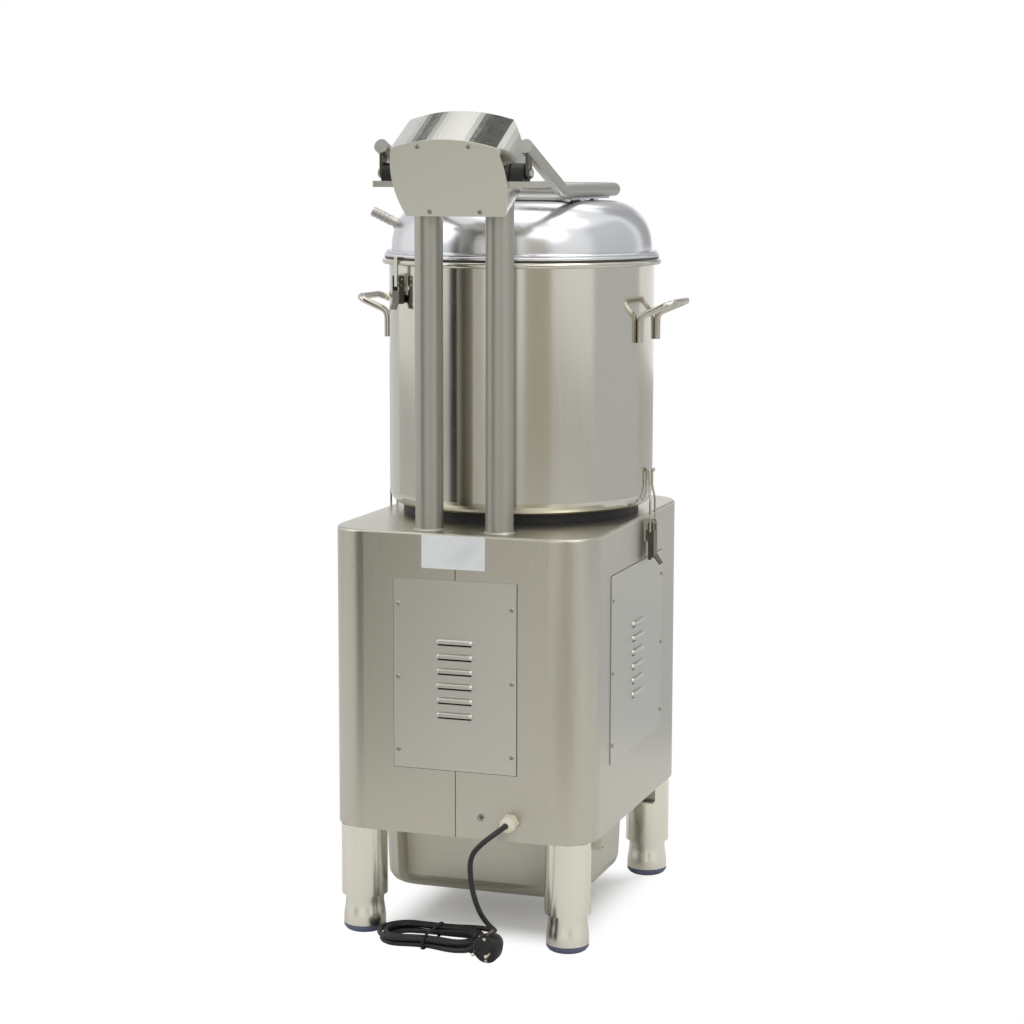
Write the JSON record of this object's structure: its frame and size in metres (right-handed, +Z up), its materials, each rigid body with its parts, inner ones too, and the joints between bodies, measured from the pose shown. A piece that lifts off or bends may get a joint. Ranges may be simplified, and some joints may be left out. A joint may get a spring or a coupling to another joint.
{
  "type": "electric potato peeler",
  "caption": "Floor-standing electric potato peeler: steel drum with abrasive disc, hinged lid, tilted control head, louvred cabinet on four feet, waste tray and mains lead.",
  "frame": {"origin": "on the floor, under the middle of the machine without its mains lead", "axes": "+Z up; the operator stands on the -Y side and faces +Y; the rear panel, columns and mains lead are on the +Y side"},
  "size_m": [0.4812, 0.6033, 1.1243],
  "materials": {
    "brushed_steel": "brushed along the height",
    "drum_steel": "satin, with upright streaks",
    "bright_steel": "polished",
    "spun_aluminium": "satin",
    "foot_plastic": "blue-grey, matte",
    "ivory_plastic": "satin",
    "black_plastic": "matte",
    "black_rubber": "matte",
    "green_plastic": "gloss",
    "red_plastic": "gloss",
    "abrasive": "cast disc with a rough grit coating",
    "cast_iron": "as cast",
    "motor_paint": "semi-gloss",
    "plug_brass": "nickel plated"
  },
  "bodies": {
    "base": {"cabinet_shell": "brushed_steel", "base_plate": "brushed_steel", "rear_panel": "brushed_steel", "side_panels": "brushed_steel", "screws": "bright_steel", "legs": "brushed_steel", "tray_runners": "brushed_steel", "waste_duct": "brushed_steel", "cable_gland": "ivory_plastic", "drum": "drum_steel", "drum_collar": "black_rubber", "drum_handles": "bright_steel", "discharge_chute": "drum_steel", "door_fittings": "drum_steel", "latch_bases": "brushed_steel", "columns": "brushed_steel", "hinge_bracket": "brushed_steel", "hinge_blocks": "black_plastic", "head_shell": "brushed_steel", "head_back_plate": "brushed_steel", "control_panel": "brushed_steel", "control_switches": "black_plastic", "bearing_housing": "cast_iron", "motor": "motor_paint", "drive_belt": "black_rubber", "power_cord": "black_rubber", "cord_hank": "black_rubber", "cord_tie": "black_plastic", "power_plug": "black_plastic", "plug_pins": "plug_brass"},
    "lid": {"lid_arm": "bright_steel", "lid_plate": "spun_aluminium", "lid_dome": "spun_aluminium", "lid_gasket": "black_rubber", "water_nozzle": "spun_aluminium"},
    "door": {"discharge_door": "drum_steel", "door_gasket": "black_rubber"},
    "door_catch": {"door_handle": "black_plastic"},
    "disc_drive": {"abrasive_disc": "abrasive", "spindle": "bright_steel", "disc_pulley": "cast_iron"},
    "motor_drive": {"motor_pulley": "cast_iron"},
    "timer": {"timer_knob": "black_plastic"},
    "start": {"start_button": "green_plastic"},
    "stop": {"stop_button": "red_plastic"},
    "tray": {"waste_tray": "drum_steel"},
    "lever_left": {"latch_lever_left": "brushed_steel"},
    "lever_right": {"latch_lever_right": "brushed_steel"},
    "bail_left": {"latch_bail_left": "bright_steel"},
    "bail_right": {"latch_bail_right": "bright_steel"},
    "lid_lever": {"lid_latch_lever": "brushed_steel"},
    "lid_hook": {"lid_latch_hook": "bright_steel"},
    "foot_front_left": {"foot_front_left": "brushed_steel", "pad_front_left": "foot_plastic"},
    "foot_front_right": {"foot_front_right": "brushed_steel", "pad_front_right": "foot_plastic"},
    "foot_rear_left": {"foot_rear_left": "brushed_steel", "pad_rear_left": "foot_plastic"},
    "foot_rear_right": {"foot_rear_right": "brushed_steel", "pad_rear_right": "foot_plastic"}
  },
  "joints": [
    {"name": "lid_hinge", "type": "hinge", "parent": "base", "child": "lid", "pos_m": [0, 0.234, 1.044], "axis": [-1, 0, 0], "range_deg": [0, 80]},
    {"name": "door_hinge", "type": "hinge", "parent": "base", "child": "door", "pos_m": [0.094, -0.26365, 0.677], "axis": [0, 0, 1], "range_deg": [0, 110]},
    {"name": "door_catch_turn", "type": "hinge", "parent": "door", "child": "door_catch", "pos_m": [-0.081, -0.26365, 0.677], "axis": [0, -1, 0], "range_deg": [0, 90]},
    {"name": "disc_spin", "type": "hinge", "parent": "base", "child": "disc_drive", "pos_m": [0, -0.04, 0.59], "axis": [0, 0, 1], "continuous": true},
    {"name": "motor_spin", "type": "hinge", "parent": "base", "child": "motor_drive", "pos_m": [0, 0.12, 0.363], "axis": [0, 0, 1], "continuous": true},
    {"name": "timer_turn", "type": "hinge", "parent": "base", "child": "timer", "pos_m": [0, 0.19207, 1.0799], "axis": [0, -0.8829, 0.4695], "range_deg": [0, 300]},
    {"name": "start_press", "type": "slide", "parent": "base", "child": "start", "axis": [0, 0.8829, -0.4695], "range_m": [0, 0.003], "stiffness_N_per_m": 300},
    {"name": "stop_press", "type": "slide", "parent": "base", "child": "stop", "axis": [0, 0.8829, -0.4695], "range_m": [0, 0.003], "stiffness_N_per_m": 300},
    {"name": "tray_slide", "type": "slide", "parent": "base", "child": "tray", "axis": [1, 0, 0], "range_m": [0, 0.3]},
    {"name": "lever_left_turn", "type": "hinge", "parent": "base", "child": "lever_left", "pos_m": [-0.1955, -0.04, 0.553], "axis": [0, 1, 0], "range_deg": [0, 90]},
    {"name": "bail_left_turn", "type": "hinge", "parent": "lever_left", "child": "bail_left", "pos_m": [-0.1955, -0.04, 0.543], "axis": [0, 1, 0], "range_deg": [-90, 2]},
    {"name": "lever_right_turn", "type": "hinge", "parent": "base", "child": "lever_right", "pos_m": [0.1955, -0.04, 0.553], "axis": [0, -1, 0], "range_deg": [0, 90]},
    {"name": "bail_right_turn", "type": "hinge", "parent": "lever_right", "child": "bail_right", "pos_m": [0.1955, -0.04, 0.543], "axis": [0, -1, 0], "range_deg": [-90, 2]},
    {"name": "lid_lever_turn", "type": "hinge", "parent": "base", "child": "lid_lever", "pos_m": [0.13048, 0.10491, 0.8983], "axis": [0.7431, -0.6691, 0], "range_deg": [0, 90]},
    {"name": "lid_hook_turn", "type": "hinge", "parent": "lid_lever", "child": "lid_hook", "pos_m": [0.13048, 0.10491, 0.8893], "axis": [0.7431, -0.6691, 0], "range_deg": [-92, 2]},
    {"name": "foot_front_left_adjust", "type": "slide", "parent": "base", "child": "foot_front_left", "axis": [0, 0, -1], "range_m": [0, 0.025]},
    {"name": "foot_front_right_adjust", "type": "slide", "parent": "base", "child": "foot_front_right", "axis": [0, 0, -1], "range_m": [0, 0.025]},
    {"name": "foot_rear_left_adjust", "type": "slide", "parent": "base", "child": "foot_rear_left", "axis": [0, 0, -1], "range_m": [0, 0.025]},
    {"name": "foot_rear_right_adjust", "type": "slide", "parent": "base", "child": "foot_rear_right", "axis": [0, 0, -1], "range_m": [0, 0.025]}
  ],
  "couplings": [
    {"joint": "motor_spin", "follows": "disc_spin", "ratio": 3.2},
    {"joint": "bail_left_turn", "follows": "lever_left_turn", "ratio": -0.91},
    {"joint": "bail_right_turn", "follows": "lever_right_turn", "ratio": -0.91},
    {"joint": "lid_hook_turn", "follows": "lid_lever_turn", "ratio": -1}
  ]
}
